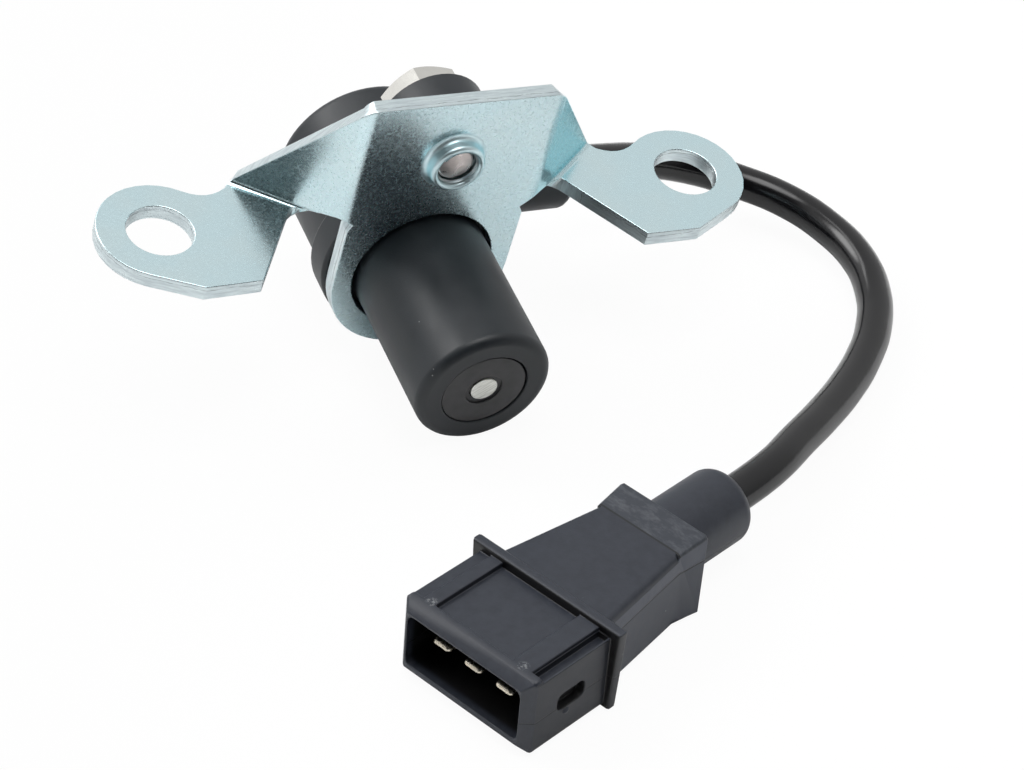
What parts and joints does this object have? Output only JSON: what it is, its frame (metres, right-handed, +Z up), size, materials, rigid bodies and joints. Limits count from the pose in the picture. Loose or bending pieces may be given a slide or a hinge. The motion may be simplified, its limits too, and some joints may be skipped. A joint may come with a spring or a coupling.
{
  "type": "rotation sensor",
  "caption": "Inductive engine-speed sensor: black moulded probe bolted to a folded zinc-plated bracket with drilled ears, short black cable and flat blade connector.",
  "frame": {"origin": "on the surface it lies on, under the middle of the bracket and probe measured without the cable and connector", "axes": "+Z up from the surface; -Y towards the picture's camera; +X to its right, along the greater width across the bracket's two ears; the nose points forward, right and slightly down"},
  "size_m": [0.1048, 0.1178, 0.0431],
  "materials": {
    "moulded_black": "fine-grained moulded charcoal black, satin where handled",
    "connector_black": "moulded blue-black, slightly satin",
    "zinc_plate": "bright zinc plating with a pale blue cast on folded sheet steel",
    "bright_steel": "plated steel, bright",
    "pole_steel": "soft magnetic steel, ground",
    "magnet_grey": "dull grey sintered magnet",
    "enamelled_copper": "enamelled copper wire, glossy",
    "tinned_brass": "tinned, satin",
    "spool_plastic": "black glass-filled plastic",
    "cable_black": "smooth black jacket, semi-gloss",
    "seal_rubber": "matt black",
    "core_brown": "brown wire insulation",
    "core_blue": "blue wire insulation",
    "core_white": "white wire insulation"
  },
  "bodies": {
    "root": {"bracket": "zinc_plate", "sensor_housing": "moulded_black", "lug_sleeve": "bright_steel", "fixing_screw": "bright_steel", "coil_bobbin": "spool_plastic", "coil_tab_left": "tinned_brass", "coil_tab_right": "tinned_brass", "coil_winding": "enamelled_copper", "pole_pin": "pole_steel", "magnet": "magnet_grey", "rear_cover": "moulded_black", "cable": "cable_black", "cable_seal": "seal_rubber", "signal_core_left": "core_brown", "signal_core_right": "core_blue", "connector_housing": "connector_black", "contact_carrier": "connector_black", "contact_blade_1": "tinned_brass", "contact_blade_2": "tinned_brass", "contact_blade_3": "tinned_brass", "connector_core_1": "core_brown", "connector_core_2": "core_blue", "connector_core_3": "core_white", "neck_sleeve": "connector_black"}
  },
  "joints": []
}
